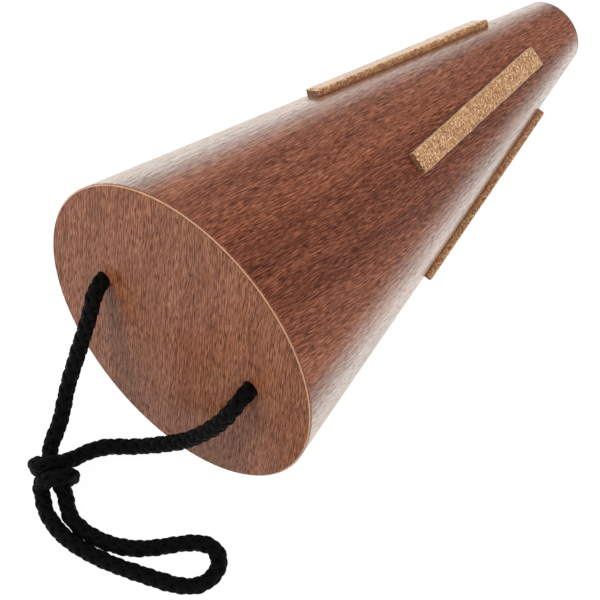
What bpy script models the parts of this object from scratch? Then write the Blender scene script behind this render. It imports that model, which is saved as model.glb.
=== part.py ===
"""French horn straight mute, lying on its side on a flat surface.

A conical body of veneered ply, closed by a disc at the big end and open at the
narrow end, with five cork strips, a sliding tuning tube and a cord hand loop.
Metres, +Z up. The mute's axis lies in the XZ plane, narrow end towards +X.
The origin is below the middle of the mute, on the surface it lies on.
"""
import math

import bmesh
import bpy
from mathutils import Matrix, Vector

# Cone body
BASE_RADIUS = 0.0730
TIP_RADIUS = 0.0180
BODY_LENGTH = 0.2845
VENEER_THICKNESS = 0.0006
SHELL_THICKNESS = 0.0018

# Closed end
BASE_LIP = 0.0014
BASE_CHAMFER = 0.0007
BASE_PLUG_DEPTH = 0.0060
FACE_VENEER_THICKNESS = 0.0006
FACE_VENEER_INSET = 0.0011
HOOP_WIDTH = 0.0080
HOOP_THICKNESS = 0.0050
HOOP_TOP_THICKNESS = 0.0020

# Cork strips
STRIP_COUNT = 5
STRIP_WIDTH = 0.0104
STRIP_THICKNESS = 0.0023
STRIP_START = 0.1172
STRIP_LENGTH = 0.1203
STRIP_CORNER = 0.0006
# how far each strip's two ends sit from that, as glued by hand
STRIP_END_SHIFTS = ((0.0006, 0.0003), (0.0009, 0.0002), (-0.0041, -0.0006), (0.0, 0.0), (0.0, 0.0))

# Narrow end
MOUTH_LIP = 0.0012
MOUTH_RING_LENGTH = 0.0220
MOUTH_BORE_RADIUS = 0.0125
MOUTH_EDGE_ROUND = 0.00054
BUSH_THICKNESS = 0.0013
BUSH_LENGTH = 0.0160
TUBE_WALL = 0.0011
TUBE_LENGTH = 0.0700
TUBE_SETBACK = 0.0050
LIP_HEIGHT = 0.0040
LIP_OVERHANG = 0.0006
LIP_CHAMFER = 0.0004

# Cord
CORD_DIAMETER = 0.0070
CORD_HOLE_SPACING = 0.0832
CORD_HOLE_RISE = 0.0024
CORD_HOLE_CLEARANCE = 0.0003
CORD_POINT_SPACING = 0.0060
CORD_LEAD = 0.0026
CORD_FLOOR_GAP = 0.0001
STOPPER_RADIUS = 0.0078
STOPPER_TAIL = 0.0060
STOPPER_TAIL_RADIUS = 0.0030
KNOT_SIZE = Vector((0.0225, 0.0165, 0.0140))
KNOT_CENTRE = Vector((-0.1967, 0.0233, 0.0072))
KNOT_TURN = math.radians(-49.6)
KNOT_MARGIN = 0.0004

# Fits
GAP = 0.0003
RADIAL_GAP = 0.0002
SEGMENTS = 96

# Route of the left leg from its hole to the knot
LEFT_ROUTE = (
    (-0.1418, 0.0409, 0.0715),
    (-0.1467, 0.0403, 0.0625),
    (-0.1572, 0.0403, 0.0430),
    (-0.1671, 0.0397, 0.0265),
    (-0.1782, 0.0355, 0.0145),
    (-0.1889, 0.0318, 0.0105),
    (-0.1932, 0.0284, 0.0088),
)

# Route of the right leg from its hole to the knot
RIGHT_ROUTE = (
    (-0.1424, -0.0412, 0.0718),
    (-0.1476, -0.0376, 0.0610),
    (-0.1507, -0.0319, 0.0495),
    (-0.1547, -0.0223, 0.0345),
    (-0.1592, -0.0107, 0.0225),
    (-0.1652, 0.0025, 0.0125),
    (-0.1727, 0.0137, 0.0090),
    (-0.1800, 0.0191, 0.0074),
    (-0.1841, 0.0208, 0.0066),
    (-0.1869, 0.0221, 0.0064),
)

# Route of the hand loop, flat on the surface, from the knot round and back
LOOP_START = (-0.2037, 0.0232, 0.0062)
LOOP_ROUTE = (
    (-0.2061, 0.0202),
    (-0.2102, 0.0146),
    (-0.2124, 0.0079),
    (-0.2137, 0.0011),
    (-0.2135, -0.0057),
    (-0.2127, -0.0125),
    (-0.2113, -0.0196),
    (-0.2090, -0.0275),
    (-0.2057, -0.0364),
    (-0.2024, -0.0449),
    (-0.1981, -0.0544),
    (-0.1923, -0.0608),
    (-0.1850, -0.0624),
    (-0.1789, -0.0600),
    (-0.1758, -0.0538),
    (-0.1783, -0.0473),
    (-0.1840, -0.0413),
    (-0.1914, -0.0351),
    (-0.1984, -0.0277),
    (-0.2030, -0.0194),
    (-0.2053, -0.0122),
    (-0.2063, -0.0042),
    (-0.2054, 0.0038),
    (-0.2020, 0.0093),
)
LOOP_END = (-0.1973, 0.0156, 0.0062)

for old in list(bpy.data.objects):
    bpy.data.objects.remove(old, do_unlink=True)


def material(name, colour, roughness, metallic=0.0):
    """A plain Principled material of one colour."""
    mat = bpy.data.materials.new(name)
    mat.use_nodes = True
    shader = mat.node_tree.nodes["Principled BSDF"]
    shader.inputs["Base Color"].default_value = (*colour, 1.0)
    shader.inputs["Roughness"].default_value = roughness
    shader.inputs["Metallic"].default_value = metallic
    mat.diffuse_color = (*colour, 1.0)
    return mat


def add_object(name, data, mat, parent=None):
    """Links an object with its own material and parent."""
    obj = bpy.data.objects.new(name, data)
    bpy.context.scene.collection.objects.link(obj)
    data.materials.append(mat)
    if parent is not None:
        obj.parent = parent
    return obj


def mesh_object(name, bm, mat, parent=None, sharp=math.radians(32)):
    """Turns a bmesh into a smooth-shaded object."""
    bmesh.ops.recalc_face_normals(bm, faces=bm.faces)
    mesh = bpy.data.meshes.new(name)
    bm.to_mesh(mesh)
    bm.free()
    mesh.shade_smooth()
    mesh.set_sharp_from_angle(angle=sharp)
    return add_object(name, mesh, mat, parent)


def turned(profile, segments=SEGMENTS, start=0.0):
    """Turns a closed profile of (x, radius) points about the X axis.

    The first segment point stands at the angle start from +Z, so a point of
    the polygon lies straight below the axis when segments is even.
    """
    bm = bmesh.new()
    rings = []
    for x, radius in profile:
        if radius < 1e-9:
            rings.append([bm.verts.new((x, 0.0, 0.0))] * segments)
            continue
        ring = []
        for i in range(segments):
            angle = start + 2 * math.pi * i / segments
            ring.append(bm.verts.new((x, radius * math.sin(angle), radius * math.cos(angle))))
        rings.append(ring)
    for k in range(len(rings)):
        a, b = rings[k], rings[(k + 1) % len(rings)]
        for i in range(segments):
            j = (i + 1) % segments
            corners = []
            for vert in (a[i], a[j], b[j], b[i]):
                if vert not in corners:
                    corners.append(vert)
            if len(corners) >= 3:
                bm.faces.new(corners)
    return bm


# The cone's surfaces

SLOPE = (BASE_RADIUS - TIP_RADIUS) / BODY_LENGTH
HALF_ANGLE = math.atan(SLOPE)


def outer_radius(x):
    """Radius of the veneer's outside at a distance x from the closed end."""
    return BASE_RADIUS - SLOPE * x


def depth_radius(x, depth):
    """Radius of the surface that lies a depth under the veneer's outside, square to it."""
    return outer_radius(x) - depth / math.cos(HALF_ANGLE)


SHELL_OUTER_DEPTH = VENEER_THICKNESS + GAP
SHELL_INNER_DEPTH = SHELL_OUTER_DEPTH + SHELL_THICKNESS
LINING_DEPTH = SHELL_INNER_DEPTH + GAP
SIDE_START = BASE_LIP + GAP
SIDE_END = BODY_LENGTH - MOUTH_LIP - GAP

# The mute lies on the lowest point of its rim and on the bottom strip's near end

# turn of each strip about the axis, from the top towards +Y
STRIP_ANGLES = tuple(2 * math.pi * (0.5 - k) / STRIP_COUNT for k in range(STRIP_COUNT))
RIM_X = BASE_CHAMFER
RIM_RADIUS = outer_radius(BASE_CHAMFER)


def strip_ends(index):
    """Where one strip starts and ends along the axis, as it was glued."""
    shift = STRIP_END_SHIFTS[index % len(STRIP_END_SHIFTS)]
    return STRIP_START + shift[0], STRIP_START + STRIP_LENGTH + shift[1]


def strip_top(x):
    """Place along the axis, and distance from it, of a strip's outer face over x."""
    reach = GAP + STRIP_THICKNESS
    return x + math.sin(HALF_ANGLE) * reach, outer_radius(x) + math.cos(HALF_ANGLE) * reach


def strip_lean(index):
    """The lean at which the rim and this strip would both touch the surface."""
    start, end = strip_ends(index)
    half = STRIP_WIDTH / 2 - STRIP_CORNER
    leans = []
    for place in (start + STRIP_CORNER, end - STRIP_CORNER):
        x, r = strip_top(place)
        for y in (-half, half):
            down = y * math.sin(STRIP_ANGLES[index]) - r * math.cos(STRIP_ANGLES[index])
            leans.append(math.atan2(RIM_RADIUS - down, x - RIM_X))
    return min(leans)


LEAN = min(strip_lean(k) for k in range(STRIP_COUNT))
LEAN_MATRIX = Matrix.Rotation(LEAN, 4, "Y")

low_rim = LEAN_MATRIX @ Vector((RIM_X, 0.0, -RIM_RADIUS))
high_rim = LEAN_MATRIX @ Vector((BODY_LENGTH, 0.0, TIP_RADIUS))
low_tip = LEAN_MATRIX @ Vector((BODY_LENGTH, 0.0, -TIP_RADIUS))
left_end = min(low_rim.x, (LEAN_MATRIX @ Vector((0.0, 0.0, -BASE_RADIUS + BASE_CHAMFER))).x)
right_end = max(high_rim.x, low_tip.x)
MUTE_PLACE = Vector((-(left_end + right_end) / 2, 0.0, -low_rim.z))
MUTE_MATRIX = Matrix.Translation(MUTE_PLACE) @ LEAN_MATRIX

mute = bpy.data.objects.new("mute_axis", None)
bpy.context.scene.collection.objects.link(mute)
mute.location = MUTE_PLACE
mute.rotation_euler = (0.0, LEAN, 0.0)

# Colours

VENEER = (0.30, 0.115, 0.065)
PALE_WOOD = (0.62, 0.40, 0.24)
PLY = (0.50, 0.33, 0.20)
CORK = (0.60, 0.36, 0.18)
BLACK_CORD = (0.012, 0.012, 0.013)

# Veneer and shell of the cone

cone_veneer = mesh_object("cone_veneer", turned([
    (SIDE_START, outer_radius(SIDE_START)),
    (SIDE_END, outer_radius(SIDE_END)),
    (SIDE_END, depth_radius(SIDE_END, VENEER_THICKNESS)),
    (SIDE_START, depth_radius(SIDE_START, VENEER_THICKNESS)),
]), material("side_veneer", VENEER, 0.42), mute)

cone_shell = mesh_object("cone_shell", turned([
    (SIDE_START, depth_radius(SIDE_START, SHELL_OUTER_DEPTH)),
    (SIDE_END, depth_radius(SIDE_END, SHELL_OUTER_DEPTH)),
    (SIDE_END, depth_radius(SIDE_END, SHELL_INNER_DEPTH)),
    (SIDE_START, depth_radius(SIDE_START, SHELL_INNER_DEPTH)),
]), material("shell_ply", PLY, 0.6), mute)

# Disc of the closed end: a shallow seat for its face veneer, a lip over the
# ends of the side, and a plug inside the shell

CUTTER_REACH = BASE_PLUG_DEPTH
HOLE_RADIUS = CORD_DIAMETER / 2 + CORD_HOLE_CLEARANCE
HOLE_PLACES = {"left": CORD_HOLE_SPACING / 2, "right": -CORD_HOLE_SPACING / 2}
SEAT_RADIUS = BASE_RADIUS - FACE_VENEER_INSET
SEAT_DEPTH = FACE_VENEER_THICKNESS + GAP


def hole_cutter(name, side):
    """A hidden round bar through the disc at one cord hole."""
    low, high = -CUTTER_REACH, BASE_PLUG_DEPTH + CUTTER_REACH
    bm = turned([(low, 0.0), (low, HOLE_RADIUS), (high, HOLE_RADIUS), (high, 0.0)], 32)
    bmesh.ops.recalc_face_normals(bm, faces=bm.faces)
    mesh = bpy.data.meshes.new(name)
    bm.to_mesh(mesh)
    bm.free()
    cutter = bpy.data.objects.new(name, mesh)
    bpy.context.scene.collection.objects.link(cutter)
    cutter.parent = mute
    cutter.location = (0.0, HOLE_PLACES[side], CORD_HOLE_RISE)
    cutter.hide_render = True
    cutter.display_type = "WIRE"
    return cutter


cutters = [hole_cutter("hole_cutter_" + side, side) for side in HOLE_PLACES]


def cut_holes(obj):
    """Both cord holes through one disc."""
    for cutter in cutters:
        cut = obj.modifiers.new(cutter.name, "BOOLEAN")
        cut.operation = "DIFFERENCE"
        cut.solver = "EXACT"
        cut.object = cutter


PLUG_RADIUS = depth_radius(BASE_PLUG_DEPTH, LINING_DEPTH)
base_disc = mesh_object("base_disc", turned([
    (SEAT_DEPTH, 0.0),
    (SEAT_DEPTH, SEAT_RADIUS),
    (0.0, SEAT_RADIUS),
    (0.0, outer_radius(BASE_CHAMFER) - BASE_CHAMFER),
    (BASE_CHAMFER, outer_radius(BASE_CHAMFER)),
    (BASE_LIP, outer_radius(BASE_LIP)),
    (BASE_LIP, PLUG_RADIUS),
    (BASE_PLUG_DEPTH, PLUG_RADIUS),
    (BASE_PLUG_DEPTH, 0.0),
]), material("disc_core", PALE_WOOD, 0.55), mute, math.radians(25))
cut_holes(base_disc)

base_veneer = mesh_object("base_veneer", turned([
    (0.0, 0.0),
    (0.0, SEAT_RADIUS - RADIAL_GAP),
    (FACE_VENEER_THICKNESS, SEAT_RADIUS - RADIAL_GAP),
    (FACE_VENEER_THICKNESS, 0.0),
]), material("face_veneer", VENEER, 0.42), mute)
cut_holes(base_veneer)

# Hoop in the corner between the disc and the shell

HOOP_START = BASE_PLUG_DEPTH + GAP
HOOP_END = HOOP_START + HOOP_WIDTH
base_hoop = mesh_object("base_hoop", turned([
    (HOOP_START, depth_radius(HOOP_START, LINING_DEPTH)),
    (HOOP_END, depth_radius(HOOP_END, LINING_DEPTH)),
    (HOOP_END, depth_radius(HOOP_END, LINING_DEPTH + HOOP_TOP_THICKNESS)),
    (HOOP_START, depth_radius(HOOP_START, LINING_DEPTH + HOOP_THICKNESS)),
]), material("hoop_wood", PALE_WOOD, 0.6), mute)


# Cork strips: flat outside, hollow underneath to sit on the cone

def cork_strip(index):
    """One strip along the cone, its two ends shifted as it was glued."""
    start, end = strip_ends(index)
    across = 8
    half = STRIP_WIDTH / 2
    bm = bmesh.new()
    rings = []
    for x in (start, start + STRIP_CORNER, end - STRIP_CORNER, end):
        at_end = x in (start, end)
        over_x, over_r = strip_top(x)
        seat_r = outer_radius(x) + GAP / math.cos(HALF_ANGLE)
        # the seat follows the cone, whose own facets bulge less than the gap
        ring = []
        for i in range(across + 1):
            y = -half + STRIP_WIDTH * i / across
            ring.append(bm.verts.new((x, y, math.sqrt(seat_r ** 2 - y ** 2))))
        drop = STRIP_CORNER if at_end else 0.0
        top_r = over_r - drop * math.cos(HALF_ANGLE)
        top_x = over_x - drop * math.sin(HALF_ANGLE)
        side_r = over_r - STRIP_CORNER * math.cos(HALF_ANGLE)
        side_x = over_x - STRIP_CORNER * math.sin(HALF_ANGLE)
        ring.append(bm.verts.new((side_x, half, side_r)))
        if not at_end:
            ring.append(bm.verts.new((top_x, half - STRIP_CORNER, top_r)))
            ring.append(bm.verts.new((top_x, -half + STRIP_CORNER, top_r)))
        ring.append(bm.verts.new((side_x, -half, side_r)))
        rings.append(ring)
    low, near, far, high = rings
    count = across + 1
    for a, b in ((low, near), (near, far), (far, high)):
        for i in range(across):
            bm.faces.new((a[i], a[i + 1], b[i + 1], b[i]))
        bm.faces.new((a[across], a[count], b[count], b[across]))
        bm.faces.new((a[0], b[0], b[-1], a[-1]))
    for i in (count, count + 1, count + 2):
        bm.faces.new((near[i], near[i + 1], far[i + 1], far[i]))
    for ring, inner in ((low, near), (high, far)):
        bm.faces.new(ring)
        bm.faces.new((ring[-1], ring[count], inner[count], inner[count + 1], inner[count + 2], inner[-1]))
    obj = mesh_object("cork_strip_%d" % (index + 1), bm, material("cork_%d" % (index + 1), CORK, 0.9), mute)
    # a turn about +X carries the top away from +Y
    obj.rotation_euler = (-STRIP_ANGLES[index], 0.0, 0.0)
    return obj


strips = [cork_strip(k) for k in range(STRIP_COUNT)]

# Ring that finishes the narrow end

RING_START = BODY_LENGTH - MOUTH_RING_LENGTH
RING_LIP_X = BODY_LENGTH - MOUTH_LIP
mouth_ring = mesh_object("mouth_ring", turned([
    (BODY_LENGTH, MOUTH_BORE_RADIUS + MOUTH_EDGE_ROUND),
    (BODY_LENGTH, outer_radius(BODY_LENGTH) - MOUTH_EDGE_ROUND),
    (BODY_LENGTH - MOUTH_EDGE_ROUND * 0.3, outer_radius(BODY_LENGTH) - MOUTH_EDGE_ROUND * 0.3),
    (BODY_LENGTH - MOUTH_EDGE_ROUND, outer_radius(BODY_LENGTH - MOUTH_EDGE_ROUND)),
    (RING_LIP_X, outer_radius(RING_LIP_X)),
    (RING_LIP_X, depth_radius(RING_LIP_X, LINING_DEPTH)),
    (RING_START, depth_radius(RING_START, LINING_DEPTH)),
    (RING_START, MOUTH_BORE_RADIUS),
    (BODY_LENGTH - MOUTH_EDGE_ROUND, MOUTH_BORE_RADIUS),
    (BODY_LENGTH - MOUTH_EDGE_ROUND * 0.3, MOUTH_BORE_RADIUS + MOUTH_EDGE_ROUND * 0.3),
]), material("ring_wood", VENEER, 0.4), mute, math.radians(40))

# Cork bush in the ring, and the tuning tube that slides in it

BUSH_END = BODY_LENGTH - TUBE_SETBACK - LIP_HEIGHT - 2 * GAP
BUSH_START = BUSH_END - BUSH_LENGTH
BUSH_OUTER = MOUTH_BORE_RADIUS - GAP
BUSH_INNER = BUSH_OUTER - BUSH_THICKNESS
tube_bush = mesh_object("tube_bush", turned([
    (BUSH_START, BUSH_OUTER),
    (BUSH_END, BUSH_OUTER),
    (BUSH_END, BUSH_INNER),
    (BUSH_START, BUSH_INNER),
]), material("bush_cork", CORK, 0.9), mute)

tube_slide = bpy.data.objects.new("tube_slide", None)
bpy.context.scene.collection.objects.link(tube_slide)
tube_slide.parent = mute
TUBE_END = BODY_LENGTH - TUBE_SETBACK
tube_slide.location = (TUBE_END, 0.0, 0.0)

TUBE_OUTER = BUSH_INNER - GAP
TUBE_INNER = TUBE_OUTER - TUBE_WALL
tuning_tube = mesh_object("tuning_tube", turned([
    (-LIP_HEIGHT - GAP, TUBE_OUTER),
    (-LIP_HEIGHT - GAP, TUBE_INNER),
    (-TUBE_LENGTH, TUBE_INNER),
    (-TUBE_LENGTH, TUBE_OUTER),
]), material("tube_wood", PLY, 0.5), tube_slide)

LIP_OUTER = TUBE_OUTER + LIP_OVERHANG
tube_lip = mesh_object("tube_lip", turned([
    (0.0, TUBE_INNER + LIP_CHAMFER),
    (0.0, LIP_OUTER - LIP_CHAMFER),
    (-LIP_CHAMFER, LIP_OUTER),
    (-LIP_HEIGHT, LIP_OUTER),
    (-LIP_HEIGHT, TUBE_INNER),
    (-LIP_CHAMFER, TUBE_INNER),
]), material("lip_wood", VENEER, 0.4), tube_slide)


# Cord: a stopper knot behind each hole, two legs, a knot and the hand loop

CORD_RADIUS = CORD_DIAMETER / 2


def stopper(side):
    """The knotted cord end behind one hole, with the cord that fills the hole."""
    centre = BASE_PLUG_DEPTH + GAP + STOPPER_RADIUS
    profile = [(0.0, 0.0), (0.0, CORD_RADIUS)]
    steps = 10
    first = math.asin(CORD_RADIUS / STOPPER_RADIUS)
    for i in range(steps + 1):
        angle = math.pi - first - (math.pi - 2 * first) * i / steps
        profile.append((centre + STOPPER_RADIUS * math.cos(angle), STOPPER_RADIUS * math.sin(angle)))
    tail = profile[-1][0] + STOPPER_TAIL
    profile += [(tail, STOPPER_TAIL_RADIUS), (tail, 0.0)]
    obj = mesh_object("cord_stopper_" + side, turned(profile, 24), material("stopper_" + side, BLACK_CORD, 0.8), mute)
    obj.location = (0.0, HOLE_PLACES[side], CORD_HOLE_RISE)
    return obj


stoppers = [stopper(side) for side in HOLE_PLACES]


KNOT_MATRIX = Matrix.Translation(KNOT_CENTRE) @ Matrix.Rotation(KNOT_TURN, 4, "Z")
KNOT_INVERSE = KNOT_MATRIX.inverted()


def knot_gap(place):
    """How far a place lies outside the knot, measured from the knot's middle."""
    inside = KNOT_INVERSE @ place
    level = math.sqrt(sum((2 * a / size) ** 2 for a, size in zip(inside, KNOT_SIZE)))
    return inside.length * (1 - 1 / level)


def meets_knot(place, towards):
    """Whether a cord's flat end, at a place and facing a way, would reach the knot."""
    way = towards.normalized()
    across = way.orthogonal().normalized() * CORD_RADIUS
    other = way.cross(across)
    rim = [place + across * math.cos(k * math.pi / 6) + other * math.sin(k * math.pi / 6) for k in range(12)]
    return min(knot_gap(p) for p in [place] + rim) < GAP + KNOT_MARGIN


def short_of_knot(fine):
    """A curve's points without those at its end where a flat end would reach the knot."""
    last = len(fine) - 1
    while meets_knot(fine[last], fine[last] - fine[last - 1]):
        last -= 1
    return fine[:last + 1]


def smooth_route(points, spacing, knot_at_start=False):
    """Even points on a centripetal Catmull-Rom curve through the route's points.

    The curve stops short of the knot at its end, and at its start if asked to.
    """
    pts = [Vector(p) for p in points]
    pts = [pts[0] * 2 - pts[1]] + pts + [pts[-1] * 2 - pts[-2]]
    fine = []
    for k in range(1, len(pts) - 2):
        p0, p1, p2, p3 = pts[k - 1:k + 3]
        t0 = 0.0
        t1 = t0 + math.sqrt((p1 - p0).length)
        t2 = t1 + math.sqrt((p2 - p1).length)
        t3 = t2 + math.sqrt((p3 - p2).length)
        for i in range(24):
            t = t1 + (t2 - t1) * i / 24
            a1 = p0 * ((t1 - t) / (t1 - t0)) + p1 * ((t - t0) / (t1 - t0))
            a2 = p1 * ((t2 - t) / (t2 - t1)) + p2 * ((t - t1) / (t2 - t1))
            a3 = p2 * ((t3 - t) / (t3 - t2)) + p3 * ((t - t2) / (t3 - t2))
            b1 = a1 * ((t2 - t) / (t2 - t0)) + a2 * ((t - t0) / (t2 - t0))
            b2 = a2 * ((t3 - t) / (t3 - t1)) + a3 * ((t - t1) / (t3 - t1))
            fine.append(b1 * ((t2 - t) / (t2 - t1)) + b2 * ((t - t1) / (t2 - t1)))
    fine.append(pts[-2])
    fine = short_of_knot(fine)
    if knot_at_start:
        fine = short_of_knot(fine[::-1])[::-1]
    lengths = [0.0]
    for a, b in zip(fine, fine[1:]):
        lengths.append(lengths[-1] + (b - a).length)
    total = lengths[-1]
    count = max(2, round(total / spacing))
    even = []
    k = 0
    for i in range(count + 1):
        goal = total * i / count
        while k < len(lengths) - 2 and lengths[k + 1] < goal:
            k += 1
        share = (goal - lengths[k]) / (lengths[k + 1] - lengths[k])
        even.append(fine[k].lerp(fine[k + 1], min(1.0, max(0.0, share))))
    return even, total


def cord_tube(name, route, leads_out):
    """A round cord along a smooth route, its ends capped flat.

    A leg that leads out of its hole keeps its route's second point, so that
    its first face lies flat before the disc. The hand loop starts at the knot.
    """
    points, total = smooth_route(route, CORD_POINT_SPACING, not leads_out)
    if leads_out:
        points.insert(1, Vector(route[1]))
    curve = bpy.data.curves.new(name, "CURVE")
    curve.dimensions = "3D"
    curve.bevel_depth = CORD_RADIUS
    curve.bevel_resolution = 3
    curve.resolution_u = 1
    curve.render_resolution_u = 0
    curve.use_fill_caps = True
    spline = curve.splines.new("POLY")
    spline.points.add(len(points) - 1)
    for point, place in zip(spline.points, points):
        point.co = (*place, 1.0)
    spline.use_smooth = True
    obj = add_object(name, curve, material(name + "_braid", BLACK_CORD, 0.8))
    print(name, "length", round(total, 4), "points", len(points))
    return obj


def hole_mouth(side):
    """Where a leg starts: just in front of its hole, on the hole's axis."""
    return MUTE_MATRIX @ Vector((-GAP, HOLE_PLACES[side], CORD_HOLE_RISE))


def clear_of_disc(route, side):
    """A leg's route, started straight out of its hole."""
    first = hole_mouth(side)
    second = MUTE_MATRIX @ Vector((-GAP - CORD_LEAD, HOLE_PLACES[side], CORD_HOLE_RISE))
    return [first, second] + [Vector(p) for p in route]


cord_tube("cord_leg_left", clear_of_disc(LEFT_ROUTE, "left"), True)
cord_tube("cord_leg_right", clear_of_disc(RIGHT_ROUTE, "right"), True)
FLOOR_LIFT = CORD_RADIUS + CORD_FLOOR_GAP
loop_route = [Vector(LOOP_START)] + [Vector((x, y, FLOOR_LIFT)) for x, y in LOOP_ROUTE] + [Vector(LOOP_END)]
cord_tube("cord_loop", loop_route, False)

# Knot: a rounded lump that the four cord ends stop just short of

bm = bmesh.new()
bmesh.ops.create_uvsphere(bm, u_segments=28, v_segments=16, radius=0.5)
for vert in bm.verts:
    vert.co = Vector((vert.co.x * KNOT_SIZE.x, vert.co.y * KNOT_SIZE.y, vert.co.z * KNOT_SIZE.z))
bmesh.ops.transform(bm, matrix=KNOT_MATRIX, verts=bm.verts)
cord_knot = mesh_object("cord_knot", bm, material("knot_braid", BLACK_CORD, 0.8))
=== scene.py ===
# %% [markdown]
# # A straight mute for the french horn
#
# The real object is a cone of thin veneered ply, closed by a disc at the big end. Cork strips
# hold it in the horn's bell, and a black braided cord goes through two holes in the disc and is
# tied into a hand loop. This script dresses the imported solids: it keeps every wooden solid,
# gives each one a finish made of nodes, and replaces the plain cork and cord with finer pieces.
#
# Lengths are in metres, or in millimetres where a name ends in `_mm` or a comment says so, and
# everything stands in the frame of the solids.

import math

import bpy
import numpy as np
from mathutils import Matrix, Vector


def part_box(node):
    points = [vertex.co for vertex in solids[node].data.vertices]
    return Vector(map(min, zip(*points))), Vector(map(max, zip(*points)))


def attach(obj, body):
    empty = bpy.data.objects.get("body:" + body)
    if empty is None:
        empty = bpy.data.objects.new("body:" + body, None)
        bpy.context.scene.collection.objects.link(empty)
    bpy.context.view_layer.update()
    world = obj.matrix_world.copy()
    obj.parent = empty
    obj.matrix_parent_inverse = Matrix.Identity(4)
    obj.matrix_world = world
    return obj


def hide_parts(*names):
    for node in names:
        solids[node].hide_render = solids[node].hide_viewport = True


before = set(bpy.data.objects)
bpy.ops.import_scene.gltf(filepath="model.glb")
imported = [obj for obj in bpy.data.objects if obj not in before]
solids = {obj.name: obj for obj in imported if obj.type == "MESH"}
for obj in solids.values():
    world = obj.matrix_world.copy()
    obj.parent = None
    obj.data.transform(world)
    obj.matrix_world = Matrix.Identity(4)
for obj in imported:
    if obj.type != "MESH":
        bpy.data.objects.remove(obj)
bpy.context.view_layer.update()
print("solids:", ", ".join(sorted(solids)))

# %% [markdown]
# ## Where the mute lies
#
# The mute lies on the rim of its disc and on its lowest cork strip, so its axis leans. Every
# shape below is worked out upright, along its own X axis from the disc's centre towards the
# narrow end, and `to_world` then leans it and puts it in place.

# %% The mute's own frame
LEAN = math.radians(9.69271)
DISC_CENTRE = np.array([-0.135648, 0.0, 0.071942])
BASE_RADIUS = 0.0730
TIP_RADIUS = 0.0180
BODY_LENGTH = 0.2845
SLOPE = (BASE_RADIUS - TIP_RADIUS) / BODY_LENGTH
HALF_ANGLE = math.atan(SLOPE)
LEAN_TURN = np.array([
    [math.cos(LEAN), 0.0, math.sin(LEAN)],
    [0.0, 1.0, 0.0],
    [-math.sin(LEAN), 0.0, math.cos(LEAN)],
])
MM_PER_M = 1000.0


def to_world(points):
    """Points of the mute's own frame in the world: turned by the lean about Y, then moved."""
    return np.asarray(points) @ LEAN_TURN.T + DISC_CENTRE


def cone_radius(x):
    """Radius of the cone's outside at the distance x from the disc: it falls evenly."""
    return BASE_RADIUS - SLOPE * np.asarray(x)


mouth_box = [[round(v, 4) for v in corner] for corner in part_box("mouth_ring")]
print("narrow end's centre", to_world([BODY_LENGTH, 0.0, 0.0]).round(4), "mouth ring", mouth_box)

# %% [markdown]
# ## The camera
#
# The photograph looks steeply down on the mute from in front of the disc, through a long lens,
# so lines that run away from the eye hardly draw together. The camera is placed by its position
# and by the three directions of its own axes, which make up the columns of its matrix.

# %% Camera
CAMERA_PLACE = Vector((-0.36646, -0.26151, 0.63320))
CAMERA_LOOK = Vector((0.41642, 0.34915, -0.83945)).normalized()
CAMERA_ROLL = 0.0065
LENS_MM = 94.4
SENSOR_MM = 36.0
NEAR_LIMIT = 0.01

camera_data = bpy.data.cameras.new("camera")
camera_data.lens = LENS_MM
camera_data.sensor_width = SENSOR_MM
camera_data.clip_start = NEAR_LIMIT
camera = bpy.data.objects.new("camera", camera_data)
bpy.context.scene.collection.objects.link(camera)
level = CAMERA_LOOK.cross(Vector((0.0, 0.0, 1.0))).normalized()
right = level * math.cos(CAMERA_ROLL) + level.cross(CAMERA_LOOK) * math.sin(CAMERA_ROLL)
up = right.cross(CAMERA_LOOK)
turn = Matrix((right, up, -CAMERA_LOOK)).transposed()
camera.matrix_world = Matrix.Translation(CAMERA_PLACE) @ turn.to_4x4()
bpy.context.scene.camera = camera
down_by = round(math.degrees(math.asin(-CAMERA_LOOK.z)), 1)
print("camera", LENS_MM, "mm, looking down by", down_by, "degrees")

# %% [markdown]
# ## Meshes from grids of points
#
# Most pieces here are surfaces over a grid: each row is one station along the piece, each
# column one place round it. One helper joins the rows into a tube, another writes the mesh
# with the caps that close it, so that every piece is a closed body with its faces outwards.

# %% Grid to mesh
RING_SEGMENTS = 256
RING_SHARP_DEGREES = 35


def ring_faces(rows, columns, first=0):
    """Four-cornered faces between neighbouring rings of a tube, as an index array.

    Face (i, j) joins point j and j + 1 of ring i to the same points of ring i + 1, and the
    last column joins the first.
    """
    i = np.arange(rows - 1)[:, None] * columns
    j = np.arange(columns)[None, :]
    k = (j + 1) % columns
    quads = np.stack([i + j, i + k, i + columns + k, i + columns + j], axis=-1)
    return quads.reshape(-1, 4) + first


def new_piece(name, points, faces, material, caps=(), uv=None, sharp_degrees=None):
    """A smooth mesh object at the origin, from points and four-cornered faces.

    caps are extra faces of many corners, uv gives one pair for each point, and edges that turn
    by more than sharp_degrees stay sharp.
    """
    mesh = bpy.data.meshes.new(name)
    mesh.from_pydata(np.asarray(points).tolist(), [], np.asarray(faces).tolist() + list(caps))
    if uv is not None:
        layer = mesh.uv_layers.new(name="along_and_round")
        corner = np.empty(len(mesh.loops), dtype=np.int32)
        mesh.loops.foreach_get("vertex_index", corner)
        layer.data.foreach_set("uv", np.asarray(uv, dtype=np.float32)[corner].ravel())
    mesh.shade_smooth()
    if sharp_degrees:
        mesh.set_sharp_from_angle(angle=math.radians(sharp_degrees))
    mesh.materials.append(material)
    obj = bpy.data.objects.new(name, mesh)
    bpy.context.scene.collection.objects.link(obj)
    return obj


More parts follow.
